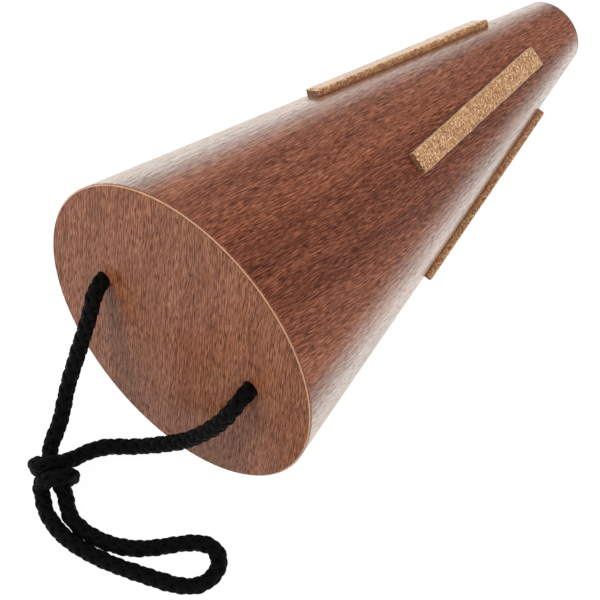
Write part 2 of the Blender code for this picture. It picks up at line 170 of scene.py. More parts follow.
def turned_ring(name, profile, material):
    """A closed profile of (x, radius) points turned about the mute's axis.

    A point at (x, r) and turn a lies at (x, r sin a, r cos a). Past the last turn, the
    remainder of a face's point numbers leads back to the first.
    """
    profile = np.asarray(profile)
    a = np.linspace(0.0, 2 * np.pi, RING_SEGMENTS, endpoint=False)[:, None]
    x = np.broadcast_to(profile[:, 0], (RING_SEGMENTS, len(profile)))
    grid = np.stack([x, profile[:, 1] * np.sin(a), profile[:, 1] * np.cos(a)], axis=-1)
    points = to_world(grid.reshape(-1, 3))
    faces = ring_faces(RING_SEGMENTS + 1, len(profile)) % len(points)
    return new_piece(name, points, faces, material, sharp_degrees=RING_SHARP_DEGREES)


print("rings are turned in", RING_SEGMENTS, "steps")

# %% [markdown]
# ## Node maths as Python
#
# A finish is easier to read as a sum or a product than as a chart of nodes. `Socket` wraps the
# output of a node and turns `+`, `-`, `*`, `/` and `**` into Math nodes. `Nodes` adds any other
# node to a tree, and `Finish` is the tree of one material.

# %% Sockets and nodes
class Socket:
    """The output of a shader node, which Python's operators work on."""

    def __init__(self, nodes, output):
        self.nodes = nodes
        self.output = output

    def siblings(self, *names):
        """Outputs of the same node, by their names."""
        return [Socket(self.nodes, self.output.node.outputs[name]) for name in names]

    def __add__(self, other):
        return self.nodes.math("ADD", self, other)

    def __sub__(self, other):
        return self.nodes.math("SUBTRACT", self, other)

    def __rsub__(self, other):
        return self.nodes.math("SUBTRACT", other, self)

    def __mul__(self, other):
        return self.nodes.math("MULTIPLY", self, other)

    def __truediv__(self, other):
        return self.nodes.math("DIVIDE", self, other)

    def __rtruediv__(self, other):
        return self.nodes.math("DIVIDE", other, self)

    def __pow__(self, other):
        return self.nodes.math("POWER", self, other)

    __radd__ = __add__
    __rmul__ = __mul__


class Nodes:
    """Adds nodes to one tree, that of a material or of the world."""

    def __init__(self, tree):
        self.tree = tree

    def node(self, kind, inputs=None, settings=None, output=0):
        """Adds a node, makes its settings, and feeds each input named with a value or a link."""
        made = self.tree.nodes.new("ShaderNode" + kind)
        for key, value in (settings or {}).items():
            setattr(made, key, value)
        for key, value in (inputs or {}).items():
            self.feed(made.inputs[key], value)
        return Socket(self, made.outputs[output])

    def feed(self, target, value):
        """Links a socket to an input, or writes a value there."""
        if isinstance(value, Socket):
            self.tree.links.new(value.output, target)
        else:
            target.default_value = value

    def math(self, operation, a, b=0.0):
        return self.node("Math", {0: a, 1: b}, {"operation": operation})

    def limit(self, value, low, high):
        """Takes a value from the span low to high onto 0 to 1, and cuts off what lies outside."""
        span = {"Value": value, "From Min": low, "From Max": high}
        return self.node("MapRange", span, {"clamp": True})

    def mix(self, factor, a, b, blend="MIX"):
        """Mixes two colours. The Mix node takes colours at inputs 6 and 7, and output 2."""
        a, b = [(*colour, 1.0) if isinstance(colour, tuple) else colour for colour in (a, b)]
        settings = {"data_type": "RGBA", "blend_type": blend}
        return self.node("Mix", {0: factor, 6: a, 7: b}, settings, 2)

    def ramp(self, stops, value):
        """The colour of a ramp at a value. A stop is a place from 0 to 1 and its colour."""
        shade = self.node("ValToRGB", {"Fac": value})
        elements = shade.output.node.color_ramp.elements
        while len(elements) < len(stops):
            elements.new(0.5)
        for element, (place, colour) in zip(elements, stops):
            element.position = place
            element.color = (*colour, 1.0)
        return shade

    def vector(self, x, y, z):
        return self.node("CombineXYZ", {"X": x, "Y": y, "Z": z})

    def noise(self, vector, detail=2.0, roughness=0.5, scale=1.0):
        values = {"Vector": vector, "Scale": scale, "Detail": detail, "Roughness": roughness}
        return self.node("TexNoise", values)


class Finish(Nodes):
    """A material with one Principled shader, and the nodes that feed it."""

    def __init__(self, name, **constants):
        self.material = bpy.data.materials.new(name)
        self.material.use_nodes = True
        super().__init__(self.material.node_tree)
        self.shader = self.tree.nodes["Principled BSDF"]
        self.set(**constants)

    def set(self, **values):
        """Feeds the shader's inputs, with _ for a space in a name, and gives the material."""
        for key, value in values.items():
            self.feed(self.shader.inputs[key.replace("_", " ")], value)
        return self.material

    def place_mm(self):
        """The point's place in the mute's own frame, in millimetres: x, y and z."""
        turn_back = LEAN_TURN.T * MM_PER_M
        mapped = self.node("Mapping", {
            "Vector": self.node("TexCoord", output="Object"),
            "Location": tuple(-(turn_back @ DISC_CENTRE)),
            "Rotation": (0.0, -LEAN, 0.0),
            "Scale": (MM_PER_M,) * 3,
        })
        return self.node("SeparateXYZ", {"Vector": mapped}).siblings("X", "Y", "Z")

    def bump(self, height, distance, strength=1.0):
        """Feeds a height, in parts of the distance, to the shader's normal."""
        values = {"Height": height, "Distance": distance, "Strength": strength}
        self.feed(self.shader.inputs["Normal"], self.node("Bump", values))

    def lay_over(self, factor, top):
        """Lays another shader over the material's own, as far as the factor says."""
        below = Socket(self, self.shader.outputs["BSDF"])
        mixed = self.node("MixShader", {0: factor, 1: below, 2: top})
        self.feed(self.tree.nodes["Material Output"].inputs["Surface"], mixed)

    def glaze(self, factor, roughness, tint):
        """Lays a pale gloss over the shader. The glossy shader's type is BsdfAnisotropic."""
        gloss = self.node("BsdfAnisotropic", {"Color": tint, "Roughness": roughness})
        self.lay_over(factor, gloss)


def srgb(red, green, blue):
    """A colour as a screen writes it, 0 to 255, made linear for the shader.

    A share c becomes c / 12.92 up to 0.04045, and ((c + 0.055) / 1.055) ^ 2.4 above.
    """
    c = np.array([red, green, blue]) / 255.0
    c = np.where(c <= 0.04045, c / 12.92, ((c + 0.055) / 1.055) ** 2.4)
    return tuple(float(v) for v in c)


print("a mid grey of 128 is", round(srgb(128, 128, 128)[0], 3), "linear")

# %% [markdown]
# ## The cord's course
#
# One black braided cord runs from the left hole to the knot, round the hand loop, back through
# the knot and up to the right hole. Behind the disc each end is tied so that it can't slip out.
# The course is a list of given points, the same ones that the solids follow, with the two
# strands of the knot between them.

# %% Points of the course
HOLE_SIDE = 0.0416
HOLE_RISE = 0.0024
HOLE_STOPS = (0.0085, 0.0040, -0.0003)
LOOP_HEIGHT = 0.0036

LEFT_LEG = [(-0.1418, 0.0409, 0.0715), (-0.1467, 0.0403, 0.0625), (-0.1572, 0.0403, 0.0430),
            (-0.1671, 0.0397, 0.0265), (-0.1782, 0.0355, 0.0145)]
RIGHT_LEG = [(-0.1424, -0.0412, 0.0718), (-0.1476, -0.0376, 0.0610), (-0.1507, -0.0319, 0.0495),
             (-0.1547, -0.0223, 0.0345), (-0.1592, -0.0107, 0.0225), (-0.1652, 0.0025, 0.0125),
             (-0.1727, 0.0137, 0.0090), (-0.1800, 0.0191, 0.0074)]
LOOP = [(-0.2061, 0.0202), (-0.2102, 0.0146), (-0.2124, 0.0079), (-0.2137, 0.0011),
        (-0.2135, -0.0057), (-0.2127, -0.0125), (-0.2113, -0.0196), (-0.2090, -0.0275),
        (-0.2057, -0.0364), (-0.2024, -0.0449), (-0.1981, -0.0544), (-0.1923, -0.0608),
        (-0.1850, -0.0624), (-0.1789, -0.0600), (-0.1758, -0.0538), (-0.1783, -0.0473),
        (-0.1840, -0.0413), (-0.1914, -0.0351), (-0.1984, -0.0277), (-0.2030, -0.0194),
        (-0.2053, -0.0122), (-0.2063, -0.0042), (-0.2054, 0.0038), (-0.2020, 0.0093)]

# the knot is drawn in millimetres from its middle: to the photograph's right, away from the
# camera along the floor, and up
KNOT_MIDDLE = np.array([-0.1967, 0.0233, 0.0])
KNOT_AXES = np.array([[0.648, -0.762, 0.0], [0.762, 0.648, 0.0], [0.0, 0.0, 1.0]])
KNOT_FROM_LEFT = [(-1.0, 12.1, 10.5), (-1.3, 7.5, 9.5), (-0.4, 3.0, 8.8), (2.0, -2.0, 8.8),
                  (4.7, -6.3, 6.5), (5.9, -7.9, 3.8)]
KNOT_FROM_RIGHT = [(9.8, 7.1, 8.0), (5.8, 4.2, 10.5), (0.5, 1.2, 14.0), (-4.4, 1.4, 13.0),
                   (-7.3, 3.4, 8.6), (-5.0, 2.6, 4.0), (0.6, -0.4, 3.2), (6.4, -1.6, 4.2),
                   (9.5, -2.2, 9.0), (7.2, -4.6, 13.8), (2.0, -6.2, 15.0), (-2.0, -6.3, 11.8),
                   (-4.2, -5.2, 7.7), (-4.5, -6.9, 5.0)]


def in_knot(places_mm):
    """World points of places in the knot."""
    return np.array(places_mm) / MM_PER_M @ KNOT_AXES + KNOT_MIDDLE


def through_hole(side):
    """Three points through a hole, from behind the disc outwards."""
    return to_world([[x, side, HOLE_RISE] for x in HOLE_STOPS])


loop_points = np.array([(x, y, LOOP_HEIGHT) for x, y in LOOP])
course = np.concatenate([
    through_hole(HOLE_SIDE), LEFT_LEG, in_knot(KNOT_FROM_LEFT), loop_points[::-1],
    in_knot(KNOT_FROM_RIGHT)[::-1], RIGHT_LEG[::-1], through_hole(-HOLE_SIDE)[::-1],
])
print("the course has", len(course), "points")

# %% [markdown]
# ## A smooth curve through the points
#
# A cubic joins each point of the course to the next, timed so that it doesn't overshoot where
# points are near each other. A cord is too stiff for a kink, so the curve is averaged a little.

# %% Smooth course
STIFFNESS = 0.0016
BRAID_STEP = 0.00055
STEPS_PER_POINT = 40
STEPS_PER_STIFFNESS = 8


def run_along(line, power=1.0):
    """The sum of a line's steps up to each point, each step's length taken to a power."""
    steps = np.linalg.norm(np.diff(line, axis=0), axis=1) ** power
    return np.concatenate([[0.0], np.cumsum(steps)])


def even_steps(line, step):
    """Points of a line at equal distances along it, and those distances."""
    run = run_along(line)
    even = np.linspace(0.0, run[-1], int(round(run[-1] / step)) + 1)
    return np.stack([np.interp(even, run, line[:, k]) for k in range(3)], axis=1), even


def through_points(points):
    """A smooth curve through all the points.

    Each point gets a time, and the time between neighbours is the square root of their
    distance. The slope at a point blends the slopes to both neighbours by those times, and a
    cubic joins each pair.
    """
    p = np.asarray(points)
    t = run_along(p, 0.5)
    secant = np.diff(p, axis=0) / np.diff(t)[:, None]
    before, after = np.diff(t)[:-1, None], np.diff(t)[1:, None]
    middle = (secant[:-1] * after + secant[1:] * before) / (before + after)
    slope = np.concatenate([secant[:1], middle, secant[-1:]])
    dense = np.linspace(0.0, t[-1], STEPS_PER_POINT * len(p))
    i = np.clip(np.searchsorted(t, dense) - 1, 0, len(p) - 2)
    span = (t[i + 1] - t[i])[:, None]
    u = (dense - t[i])[:, None] / span
    return ((2 * u ** 3 - 3 * u ** 2 + 1) * p[i] + (u ** 3 - 2 * u ** 2 + u) * span * slope[i]
            + (3 * u ** 2 - 2 * u ** 3) * p[i + 1] + (u ** 3 - u ** 2) * span * slope[i + 1])


def smooth_curve(points, step):
    """The curve through the points, rounded, at equal steps of length.

    Each point becomes an average of its neighbours with the weights exp(-d^2 / 2), where d is
    their distance over STIFFNESS, up to 3. Both ends go on mirrored.
    """
    fine, _ = even_steps(through_points(points), STIFFNESS / STEPS_PER_STIFFNESS)
    reach = 3 * STEPS_PER_STIFFNESS
    bell = np.exp(-0.5 * (np.arange(-reach, reach + 1) / STEPS_PER_STIFFNESS) ** 2)
    bell /= bell.sum()
    head = fine[0] + (fine[0] - fine[1:reach + 1])[::-1]
    tail = fine[-1] + (fine[-1] - fine[-reach - 1:-1])[::-1]
    padded = np.concatenate([head, fine, tail])
    rounded = np.stack([np.convolve(padded[:, k], bell, "valid") for k in range(3)], axis=1)
    return even_steps(rounded, step)


cord_line, cord_run = smooth_curve(course, BRAID_STEP)
print("length of the cord:", round(float(cord_run[-1]), 4), "m in", len(cord_line), "steps")

# %% [markdown]
# ## The braid
#
# The cord is a round braid of eight strands: four wind to the left, four to the right, and each
# goes over one and under the next. A strand's centre is a helix about the course whose radius
# swings in and out four times in a full turn, and the strands of the other hand swing the
# opposite way. A soft core fills the middle, as in a real cord, so that no light shows through.

# %% Braid
STRANDS_PER_HAND = 4
BRAID_PITCH = 0.0290
BRAID_RADIUS = 0.00252
BRAID_SWING = 0.00040
STRAND_WIDE = 0.00168
STRAND_THICK = 0.00098
STRAND_CORNERS = 8
CORE_RADIUS = 0.0021
CORE_CORNERS = 12
# no point of the cord goes below the table
FLOOR_LEVEL = 0.0


def steady_frames(line):
    """Three directions at each point of a line: ahead, and two across that never twist.

    Each pair across is the last pair, made square to the new direction ahead.
    """
    ahead = np.gradient(line, axis=0)
    ahead /= np.linalg.norm(ahead, axis=1)[:, None]
    side = np.empty_like(line)
    side[0] = np.cross(ahead[0], (0.0, 0.0, 1.0) if abs(ahead[0][2]) < 0.9 else (1.0, 0.0, 0.0))
    side[0] /= np.linalg.norm(side[0])
    for k in range(1, len(line)):
        side[k] = side[k - 1] - ahead[k] * (side[k - 1] @ ahead[k])
        side[k] /= np.linalg.norm(side[k])
    return ahead, side, np.cross(ahead, side)


def carried_ellipse(centre, wide_way, thick_way, wide, thick, corners):
    """Rings of an ellipse carried along a line.

    Corner a of a ring is the centre + wide cos a along one way + thick sin a along the other,
    and a starts on the inner side, where the seam doesn't show.
    """
    a = np.linspace(-np.pi / 2, 1.5 * np.pi, corners, endpoint=False)
    rings = (centre[:, None] + wide_way[:, None] * (wide[:, None] * np.cos(a))[..., None]
             + thick_way[:, None] * (thick[:, None] * np.sin(a))[..., None])
    return rings.reshape(-1, 3), a


def braided_cord(name, line, run, size, material):
    """A braid of eight strands round a core, along a line; size scales it at each point.

    Strand i stands at the turn 2 pi (i / 4 + run / pitch) and the radius r + swing cos(8 pi
    run / pitch). For the other hand both plus signs are minus signs.
    """
    ahead, side, other = steady_frames(line)
    points, faces, caps, uv = [], [], [], []
    count = 0

    def add(rings, corners, angles):
        """Adds a tube with both caps; its UV runs along it in mm, and round it from 0 to 1."""
        nonlocal count
        points.append(rings)
        faces.append(ring_faces(len(line), corners, count))
        caps.append(list(range(count, count + corners))[::-1])
        count += len(rings)
        caps.append(list(range(count - corners, count)))
        round_share = (angles + np.pi / 2) / (2 * np.pi)
        pairs = np.broadcast_arrays(run[:, None] * MM_PER_M, round_share)
        uv.append(np.stack(pairs, -1).reshape(-1, 2))

    for hand in (1, -1):
        for i in range(STRANDS_PER_HAND):
            turn = hand * 2 * np.pi * run / BRAID_PITCH + 2 * np.pi * i / STRANDS_PER_HAND
            swing = hand * BRAID_SWING * np.cos(8 * np.pi * run / BRAID_PITCH)
            radius = (BRAID_RADIUS + swing) * size
            outward = side * np.cos(turn)[:, None] + other * np.sin(turn)[:, None]
            round_way = other * np.cos(turn)[:, None] - side * np.sin(turn)[:, None]
            along = ahead + round_way * (hand * 2 * np.pi * radius / BRAID_PITCH)[:, None]
            along /= np.linalg.norm(along, axis=1)[:, None]
            centre = line + outward * radius[:, None]
            rings, angles = carried_ellipse(centre, np.cross(outward, along), outward,
                                            STRAND_WIDE * size, STRAND_THICK * size, STRAND_CORNERS)
            add(rings, STRAND_CORNERS, angles)
    core_size = CORE_RADIUS * size
    rings, angles = carried_ellipse(line, side, other, core_size, core_size, CORE_CORNERS)
    add(rings, CORE_CORNERS, angles)
    points = np.concatenate(points)
    points[:, 2] = np.maximum(points[:, 2], FLOOR_LEVEL)
    return new_piece(name, points, np.concatenate(faces), material, caps, np.concatenate(uv))


print("strands of the braid:", 2 * STRANDS_PER_HAND)

# %% [markdown]
# ## Black yarn
#
# The yarn is dull black with fine fibres. The braid's own UV map runs along and round every
# strand, so noise squeezed round the strand draws them. A real cord is never quite even:
# `cord_size` makes it a little fuller in the knot, and lets it swell and shrink along its way.

# %% Yarn and cord
YARN_DARK = srgb(1, 1, 1)
YARN_LIGHT = srgb(12, 10, 9)
YARN_ROUGHNESS = 0.55
FIBRE_STRETCH = (0.55, 26.0, 1.0)
FIBRE_RELIEF = 0.00012
FIBRE_STRENGTH = 0.8
FIBRE_LEVELS = (0.35, 0.70)
FIBRE_ROUGHER = 0.2
# the fuller part fades out from the knot's heart to its reach
KNOT_REACH = 0.014
KNOT_FADE = 1.6
KNOT_FULLER = 0.03
KNOT_HEART = KNOT_MIDDLE + np.array([0.0, 0.0, 0.0075])
# each swell: its share of the cord's size, and a wave's length over 2 pi
LONG_SWELL, LONG_SWELL_REACH = 0.018, 0.0061
SHORT_SWELL, SHORT_SWELL_REACH = 0.012, 0.0023


def braid_finish():
    """Black braided yarn, with its fibres."""
    finish = Finish("black_braided_yarn", Specular_IOR_Level=0.07)
    place = finish.node("TexCoord", output="UV")
    fibres = finish.noise(finish.node("Mapping", {"Vector": place, "Scale": FIBRE_STRETCH}))
    finish.bump(fibres, FIBRE_RELIEF, FIBRE_STRENGTH)
    shade = finish.mix(finish.limit(fibres, *FIBRE_LEVELS), YARN_DARK, YARN_LIGHT)
    return finish.set(Base_Color=shade, Roughness=YARN_ROUGHNESS + fibres * FIBRE_ROUGHER)


yarn = braid_finish()
from_knot = np.linalg.norm(cord_line - KNOT_HEART, axis=1)
nearness = np.clip(KNOT_FADE - KNOT_FADE * from_knot / KNOT_REACH, 0.0, 1.0)
cord_size = 1.0 + KNOT_FULLER * nearness ** 2 * (3 - 2 * nearness)
cord_size = cord_size * (1.0 + LONG_SWELL * np.sin(cord_run / LONG_SWELL_REACH)
                         + SHORT_SWELL * np.sin(cord_run / SHORT_SWELL_REACH))
cord_piece = braided_cord("braided_cord", cord_line, cord_run, cord_size, yarn)
print("faces of the braid:", len(cord_piece.data.polygons))

# %% [markdown]
# ## The tied ends
#
# Behind the disc each end of the cord is tied in an overhand knot, wider than its hole. The
# overhand knot's course has a formula, the trefoil: it goes twice round its middle while it
# swings out and in three times.

# %% Tied ends
END_KNOT_UNIT = 0.0027
END_KNOT_X = 0.0132
END_KNOT_OPENING = 0.12
END_KNOT_STEPS = 240
END_KNOT_SIZE = 0.8


def tied_end(name, side_place, mirror):
    """An overhand knot behind the disc.

    At the time t the course is at (cos t - 2 cos 2t, sin t + 2 sin 2t) across and -sin 3t
    along the mute, times the knot's unit.
    """
    t = np.linspace(END_KNOT_OPENING, 2 * np.pi - END_KNOT_OPENING, END_KNOT_STEPS)
    across = mirror * (np.sin(t) + 2 * np.sin(2 * t))
    local = np.stack([-np.sin(3 * t), across, np.cos(t) - 2 * np.cos(2 * t)], axis=1)
    line = to_world(local * END_KNOT_UNIT + [END_KNOT_X, side_place, HOLE_RISE])
    return braided_cord(name, line, run_along(line), np.full(len(line), END_KNOT_SIZE), yarn)


end_left = tied_end("tied_end_left", HOLE_SIDE, 1.0)
end_right = tied_end("tied_end_right", -HOLE_SIDE, -1.0)

for piece in (cord_piece, end_left, end_right):
    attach(piece, "mute_body")
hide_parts("cord_leg_left", "cord_leg_right", "cord_loop", "cord_knot")
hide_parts("cord_stopper_left")
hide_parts("cord_stopper_right")

# %% [markdown]
# ## Figured veneer
#
# The side is one flat sheet of reddish-brown veneer rolled into a cone. Flat, it is a fan whose
# corner is the cone's missing point. Its grain runs straight across the fan, so on the cone it
# follows the top line and leaves the other lines at a growing angle. To paint that, each point
# of the cone is rolled flat again: its distance from the missing point stays, and its turn
# about the axis shrinks by the sine of the cone's half angle.
#
# The figure is noise stretched along the grain. Four noises add up to a tone: broad bands,
# streaks, mottle and short fibres. Two more are cut off at a level and darken what they leave:
# long hair lines and short pores.

# %% Figure of the veneer
# each part: its length along the grain and width across it in mm, and its noise's detail,
# roughness and seed, which is added to the sheet's
DRIFT = (85.0, 26.0, 2.0, 0.5, 0.0)
WANDER = (21.0, 7.0, 2.0, 0.5, 2.0)
BAND = (260.0, 11.0, 2.0, 0.5, 4.0)
STREAK = (60.0, 2.0, 2.0, 0.6, 6.0)
HAIR_LINE = (30.0, 0.60, 1.0, 0.5, 8.0)
MOTTLE = (9.0, 4.0, 2.0, 0.6, 10.0)
PORE = (5.0, 0.42, 0.0, 0.5, 12.0)
FIBRE = (6.5, 0.50, 2.0, 0.8, 14.0)
# how far drift and wander bend the grain, in mm
DRIFT_BEND = 9.0
WANDER_BEND = 0.7
STREAK_SHARE = 0.24
MOTTLE_SHARE = 0.10
FIBRE_SHARE = 2.7
# hair lines and dashes start at one level of their noise and are full at the other
HAIR_LEVELS = (0.51, 0.60)
PORE_LEVELS = (0.56, 0.66)
PORE_IN_STREAK = 0.15
HAIR_DEPTH = 0.65
PORE_DEPTH = 0.9
PORE_SHADE = (0.46, 0.35, 0.31)


def grain_noise(finish, along, across, part, seed):
    """Noise of one part of the figure: the place is divided by the part's length and width."""
    length, width, detail, roughness, own_seed = part
    place = finish.vector(along / length, across / width, seed + own_seed)
    return finish.noise(place, detail, roughness)


def wood_figure(finish, along, across, seed, tones, band_share, painted_light_and_shade=0.0):
    """Colour and pores of a veneer from its place along and across the grain, in mm.

    The tone is 0.5 plus each noise less 0.5 times its share, and the last argument adds painted
    light and shade in bands at known places. A pore is the darker of a hair line and a dash, rarer
    in bright streaks.
    """
    drift = grain_noise(finish, along, across, DRIFT, seed)
    wander = grain_noise(finish, along, across, WANDER, seed)
    bent = across + (drift - 0.5) * DRIFT_BEND + (wander - 0.5) * WANDER_BEND
    band, streak, mottle, fibre, line, dash = [
        grain_noise(finish, along, bent, part, seed)
        for part in (BAND, STREAK, MOTTLE, FIBRE, HAIR_LINE, PORE)]
    tone = painted_light_and_shade + 0.5 + (band - 0.5) * band_share + (streak - 0.5) * STREAK_SHARE
    tone = tone + (mottle - 0.5) * MOTTLE_SHARE + (fibre - 0.5) * FIBRE_SHARE
    colour = finish.ramp(tones, tone)
    line = finish.limit(line, *HAIR_LEVELS)
    dash = finish.limit(dash - (streak - 0.5) * PORE_IN_STREAK, *PORE_LEVELS)
    pore = finish.math("MAXIMUM", line * HAIR_DEPTH, dash) * PORE_DEPTH
    dark = finish.mix(pore, colour, finish.mix(1.0, colour, PORE_SHADE, "MULTIPLY"))
    return dark, pore


print("finest fibre", FIBRE[1], "mm wide, broadest band", BAND[1], "mm")

# %% [markdown]
# ## Lacquer
#
# A satin lacquer covers both veneers, and the open pores hold less of it. Seen almost along
# its surface it mirrors the white room, so both sides of the cone fade to pale. Layer Weight's
# Facing says how flatly a place is seen, and by that much a Mix Shader lays a glossy shader
# over the wood. A clear coat alone would fade in too narrow a line.

# %% Lacquered veneer
SIDE_TONES = [(0.10, srgb(70, 33, 22)), (0.40, srgb(107, 56, 37)),
              (0.60, srgb(128, 71, 48)), (0.90, srgb(162, 103, 75))]
FACE_TONES = [(0.10, srgb(90, 48, 29)), (0.40, srgb(127, 74, 46)),
              (0.60, srgb(144, 88, 57)), (0.90, srgb(168, 111, 76))]
SIDE_SEED = 3.0
FACE_SEED = 27.0
SIDE_BAND_SHARE = 0.7
FACE_BAND_SHARE = 0.35
# painted light and shade: broad bands at fixed places round the cone, each with its middle and
# half width across the grain in mm, and its change of tone
SIDE_LIGHT_AND_SHADE_BANDS = ((-5.0, 10.0, 0.12), (-33.0, 17.0, -0.10), (-84.0, 24.0, 0.20))
LACQUER = {"Roughness": 0.42, "Specular_IOR_Level": 0.0, "Coat_Weight": 1.0,
           "Coat_Roughness": 0.3, "Coat_IOR": 1.32}
SIDE_SHEEN = {"Sheen_Weight": 0.55, "Sheen_Roughness": 0.30, "Sheen_Tint": (1.0, 0.90, 0.70, 1.0)}
# how much clear coat a veneer has, and how much of it a pore loses
SIDE_COAT = (0.6, 0.4)
FACE_COAT = (1.0, 0.7)
PORE_ROUGHER = 0.3
PORE_DULLER = 0.6
VENEER_RELIEF = 0.00004
# the gloss starts at one value of Facing and is full at the other, but never covers all
GLAZE_RANGE = (0.51, 0.74)
GLAZE_BEND = 1.3
GLAZE_MOST = 0.55
GLAZE_ROUGHNESS = 0.25
GLAZE_TINT = (1.0, 0.96, 0.90, 1.0)


def facing(finish):
    """How flatly a place is seen: 0 from straight ahead, 1 along the surface."""
    return finish.node("LayerWeight", {"Blend": 0.5}, output="Facing")


def lacquered(finish, colour, pore, coat, coat_loss):
    """Sets a veneer's colour under its lacquer: the pores are sunk, rougher and less coated."""
    finish.bump(1.0 - pore, VENEER_RELIEF)
    return finish.set(Base_Color=colour, Coat_Weight=coat - pore * coat_loss,
                      Roughness=LACQUER["Roughness"] + pore * PORE_ROUGHER)


def side_veneer():
    """Veneer of the cone: the grain runs straight over the sheet rolled flat.

    With r the distance from the cone's missing point and f the turn about the axis times the
    sine of the half angle, the place along the grain is r cos f, and across it r sin f.
    """
    finish = Finish("side_veneer_figured", **SIDE_SHEEN, **LACQUER)
    shine = finish.limit(facing(finish), *GLAZE_RANGE) ** GLAZE_BEND * GLAZE_MOST
    x, y, z = finish.place_mm()
    reach = (BASE_RADIUS / SLOPE * MM_PER_M - x) / math.cos(HALF_ANGLE)
    fan = finish.math("ARCTAN2", y, z) * math.sin(HALF_ANGLE)
    along = reach * finish.math("COSINE", fan)
    across = reach * finish.math("SINE", fan)
    # painted light and shade: bands at fixed places round the cone lighten and darken the wood's
    # tone
    painted_light_and_shade = 0.0
    for middle, half_width, change in SIDE_LIGHT_AND_SHADE_BANDS:
        outside = finish.limit(finish.math("ABSOLUTE", across - middle), 0.0, half_width)
        painted_light_and_shade = painted_light_and_shade + (1.0 - outside) * change
    colour, pore = wood_figure(finish, along, across, SIDE_SEED, SIDE_TONES, SIDE_BAND_SHARE, painted_light_and_shade)
    finish.glaze(shine * (1.0 - pore * PORE_DULLER), GLAZE_ROUGHNESS, GLAZE_TINT)
    return lacquered(finish, colour, pore, *SIDE_COAT)


def face_veneer():
    """Veneer of the disc: its grain runs upwards, square to the line of the two holes."""
    finish = Finish("face_veneer_plain", **LACQUER)
    _, y, z = finish.place_mm()
    colour, pore = wood_figure(finish, z, y, FACE_SEED, FACE_TONES, FACE_BAND_SHARE)
    return lacquered(finish, colour, pore, *FACE_COAT)


side_wood = side_veneer()
face_wood = face_veneer()
print("veneers:", side_wood.name, "and", face_wood.name)

# %% [markdown]
# ## Solid wood
#
# The disc is a pale core faced with veneer, and its chamfered edge shows the sanded core as a
# thin line. The ring, the tube and its lip are turned, the shell is bent ply and the hoop a
# plain strip. Two noises along the mute's axis, coarse and fine, are enough for their grain.

# %% Solid wood
PALE_TONES = [(0.25, srgb(168, 126, 88)), (0.5, srgb(203, 163, 122)), (0.8, srgb(224, 190, 150))]
PLY_TONES = [(0.25, srgb(140, 102, 70)), (0.5, srgb(178, 138, 100)), (0.8, srgb(203, 168, 128))]
RING_TONES = [(0.25, srgb(70, 38, 28)), (0.5, srgb(104, 62, 46)), (0.8, srgb(136, 90, 70))]
CORE_DARK = srgb(166, 122, 90)
CORE_PALE = srgb(206, 166, 134)
CORE_GRAIN = 3.0
# length along the grain and width across it in mm, detail, and share of the tone
SOLID_STREAK = (18.0, 1.4, 3.0, 0.65)
SOLID_FIBRE = (5.0, 0.4, 2.0, 0.35)
SOLID_RELIEF = 0.00003
SOLID_ROUGHER = 0.15
SOLID_COAT_ROUGHNESS = 0.25
# where the face's veneer ends and the bare core starts and stops, in mm from the face
FACE_END = (0.15, 0.25)
CORE_START = (0.10, 0.18)
CORE_STOP = (0.52, 0.60)


def turned_wood(name, tones, roughness, coat):
    """Plain wood with its grain along the mute's axis."""
    finish = Finish(name, Coat_Roughness=SOLID_COAT_ROUGHNESS)
    x, y, z = finish.place_mm()
    tone = 0.0
    for length, width, detail, share in (SOLID_STREAK, SOLID_FIBRE):
        grain = finish.noise(finish.vector(x / length, y / width, z / width), detail, 0.6)
        tone = tone + grain * share
    finish.bump(grain, SOLID_RELIEF)
    return finish.set(Base_Color=finish.ramp(tones, tone), Coat_Weight=coat,
                      Roughness=roughness + (grain - 0.5) * SOLID_ROUGHER)


def disc_edge():
    """The disc's edge: veneer on both sides of the chamfer, and the pale core across it."""
    finish = Finish("disc_edge_wood", **LACQUER)
    x, y, z = finish.place_mm()
    face, _ = wood_figure(finish, z, y, FACE_SEED, FACE_TONES, FACE_BAND_SHARE)
    round_edge = finish.math("ARCTAN2", y, z) * (BASE_RADIUS * MM_PER_M)
    side, _ = wood_figure(finish, x, round_edge, SIDE_SEED, SIDE_TONES, SIDE_BAND_SHARE)
    grain = finish.noise(finish.vector(x, y / CORE_GRAIN, z / CORE_GRAIN))
    pale = finish.mix(grain, CORE_DARK, CORE_PALE)
    wood = finish.mix(finish.limit(x, *FACE_END), face, side)
    bare = finish.limit(x, *CORE_START) * (1.0 - finish.limit(x, *CORE_STOP))
    return finish.set(Base_Color=finish.mix(bare, wood, pale))


finishes = {
    "cone_veneer": side_wood,
    "base_veneer": face_wood,
    "base_disc": disc_edge(),
    "cone_shell": turned_wood("shell_ply_layers", PLY_TONES, 0.6, 0.0),
    "base_hoop": turned_wood("hoop_pale_wood", PALE_TONES, 0.6, 0.0),
    "mouth_ring": turned_wood("ring_dark_wood", RING_TONES, 0.4, 0.8),
    "tuning_tube": turned_wood("tube_turned_wood", PLY_TONES, 0.45, 0.4),
    "tube_lip": turned_wood("lip_dark_wood", RING_TONES, 0.35, 0.8),
}
print("wood finishes:", len(finishes))
